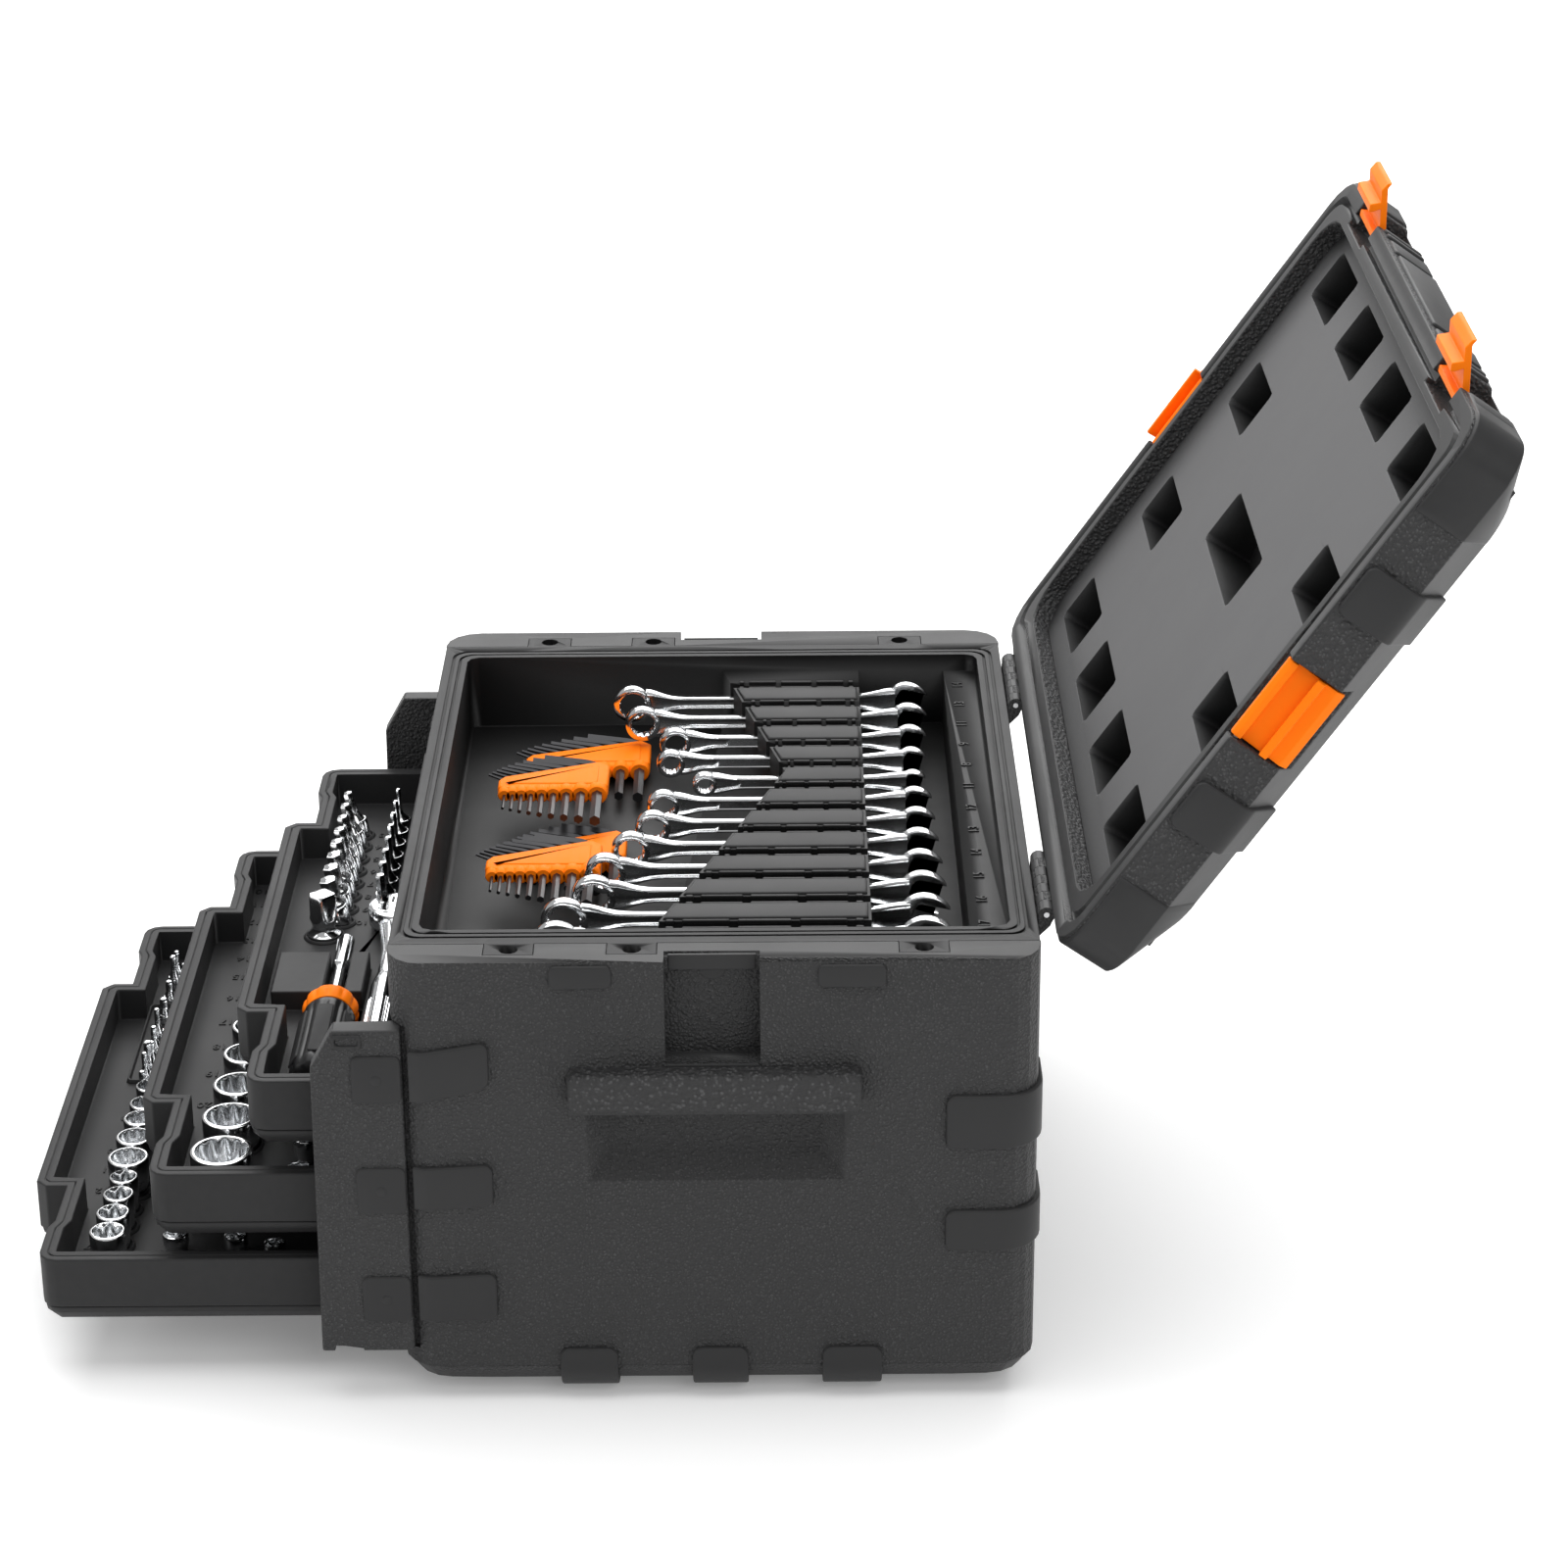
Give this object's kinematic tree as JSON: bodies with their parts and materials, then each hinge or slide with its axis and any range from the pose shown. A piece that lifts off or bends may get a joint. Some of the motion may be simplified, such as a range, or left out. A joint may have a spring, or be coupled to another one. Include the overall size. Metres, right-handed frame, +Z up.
{
  "type": "socket wrench set in case",
  "caption": "Portable tool case with lift-up lid, sliding tool drawers, corner flaps and a top tray of wrenches and hex keys.",
  "frame": {"origin": "middle of the case's underside", "axes": "+Z up, -Y towards the drawers, +Y towards the lid hinges, X across between the two carrying sides"},
  "size_m": [0.4935, 0.7726, 0.5667],
  "materials": {
    "grained_plastic": "leather grained, black",
    "tray_plastic": "smooth moulded, black",
    "liner_plastic": "smooth moulded, charcoal",
    "handle_plastic": "smooth black",
    "orange_plastic": "satin orange",
    "pin_steel": "bright drawn wire",
    "chrome": "polished chrome plate"
  },
  "bodies": {
    "case": {"base_tub": "grained_plastic", "case_shell": "grained_plastic", "top_tray": "tray_plastic", "runner_left": "tray_plastic", "runner_right": "tray_plastic", "flap_pin_left": "pin_steel", "flap_pin_right": "pin_steel", "tray_screw_left_1": "pin_steel", "tray_screw_left_2": "pin_steel", "tray_screw_left_3": "pin_steel", "tray_screw_right_1": "pin_steel", "tray_screw_right_2": "pin_steel", "tray_screw_right_3": "pin_steel", "wrench_01": "chrome", "wrench_02": "chrome", "wrench_03": "chrome", "wrench_04": "chrome", "wrench_05": "chrome", "wrench_06": "chrome", "wrench_07": "chrome", "wrench_08": "chrome", "wrench_09": "chrome", "wrench_10": "chrome", "wrench_11": "chrome", "wrench_12": "chrome", "key_holder_1": "orange_plastic", "key_holder_2": "orange_plastic", "key_holder_3": "orange_plastic", "key_holder_4": "orange_plastic"},
    "lid": {"lid_shell": "grained_plastic", "lid_liner": "liner_plastic", "lid_hinge_pin_left": "pin_steel", "lid_hinge_pin_right": "pin_steel", "latch_pin_front_left": "pin_steel", "latch_pin_front_right": "pin_steel", "latch_pin_side_left": "pin_steel", "latch_pin_side_right": "pin_steel"},
    "latch_front_left": {"latch_front_left": "orange_plastic"},
    "latch_front_right": {"latch_front_right": "orange_plastic"},
    "latch_side_left": {"latch_side_left": "orange_plastic"},
    "latch_side_right": {"latch_side_right": "orange_plastic"},
    "drawer_top": {"drawer_top_tray": "tray_plastic", "drawer_top_pan": "tray_plastic", "screwdriver_handle": "handle_plastic", "screwdriver_shaft": "chrome", "ratchet_handle": "chrome"},
    "screwdriver_collar": {"screwdriver_collar": "orange_plastic"},
    "ratchet_drive": {"ratchet_drive": "chrome"},
    "drawer_middle": {"drawer_middle_tray": "tray_plastic", "drawer_middle_pan": "tray_plastic", "socket_1": "chrome", "socket_2": "chrome", "socket_3": "chrome", "socket_4": "chrome", "socket_5": "chrome"},
    "drawer_bottom": {"drawer_bottom_tray": "tray_plastic", "drawer_bottom_pan": "tray_plastic"},
    "corner_flap_left": {"corner_flap_left": "grained_plastic"},
    "corner_flap_right": {"corner_flap_right": "grained_plastic"}
  },
  "joints": [
    {"name": "lid_hinge", "type": "hinge", "parent": "case", "child": "lid", "pos_m": [0, 0.1723, 0.26], "axis": [1, 0, 0], "range_deg": [0, 125]},
    {"name": "latch_front_left_pivot", "type": "hinge", "parent": "lid", "child": "latch_front_left", "pos_m": [-0.1455, 0.3713, 0.5367], "axis": [1, 0, 0], "range_deg": [-60, 55]},
    {"name": "latch_front_right_pivot", "type": "hinge", "parent": "lid", "child": "latch_front_right", "pos_m": [0.1455, 0.3713, 0.5367], "axis": [1, 0, 0], "range_deg": [-60, 55]},
    {"name": "latch_side_left_pivot", "type": "hinge", "parent": "lid", "child": "latch_side_left", "pos_m": [-0.2225, 0.27522, 0.39949], "axis": [0, 0.5736, 0.8192], "range_deg": [-70, 90]},
    {"name": "latch_side_right_pivot", "type": "hinge", "parent": "lid", "child": "latch_side_right", "pos_m": [0.2225, 0.27522, 0.39949], "axis": [0, -0.5736, -0.8192], "range_deg": [0, 166]},
    {"name": "drawer_top_slide", "type": "slide", "parent": "case", "child": "drawer_top", "axis": [0, 1, 0], "range_m": [-0.1165, 0.0935]},
    {"name": "drawer_middle_slide", "type": "slide", "parent": "case", "child": "drawer_middle", "axis": [0, 1, 0], "range_m": [-0.062, 0.148]},
    {"name": "drawer_bottom_slide", "type": "slide", "parent": "case", "child": "drawer_bottom", "axis": [0, 1, 0], "range_m": [0, 0.21]},
    {"name": "corner_flap_left_hinge", "type": "hinge", "parent": "case", "child": "corner_flap_left", "pos_m": [-0.2185, -0.1585, 0.126], "axis": [0, 0, -1], "range_deg": [-10, 10]},
    {"name": "corner_flap_right_hinge", "type": "hinge", "parent": "case", "child": "corner_flap_right", "pos_m": [0.2185, -0.1585, 0.126], "axis": [0, 0, 1], "range_deg": [-10, 10]},
    {"name": "screwdriver_collar_turn", "type": "hinge", "parent": "drawer_top", "child": "screwdriver_collar", "pos_m": [0.096, -0.212, 0.166], "axis": [1, 0, 0], "range_deg": [-15, 15]},
    {"name": "ratchet_drive_turn", "type": "hinge", "parent": "drawer_top", "child": "ratchet_drive", "pos_m": [-0.022, -0.185, 0.165], "axis": [0, 0, 1], "continuous": true}
  ]
}
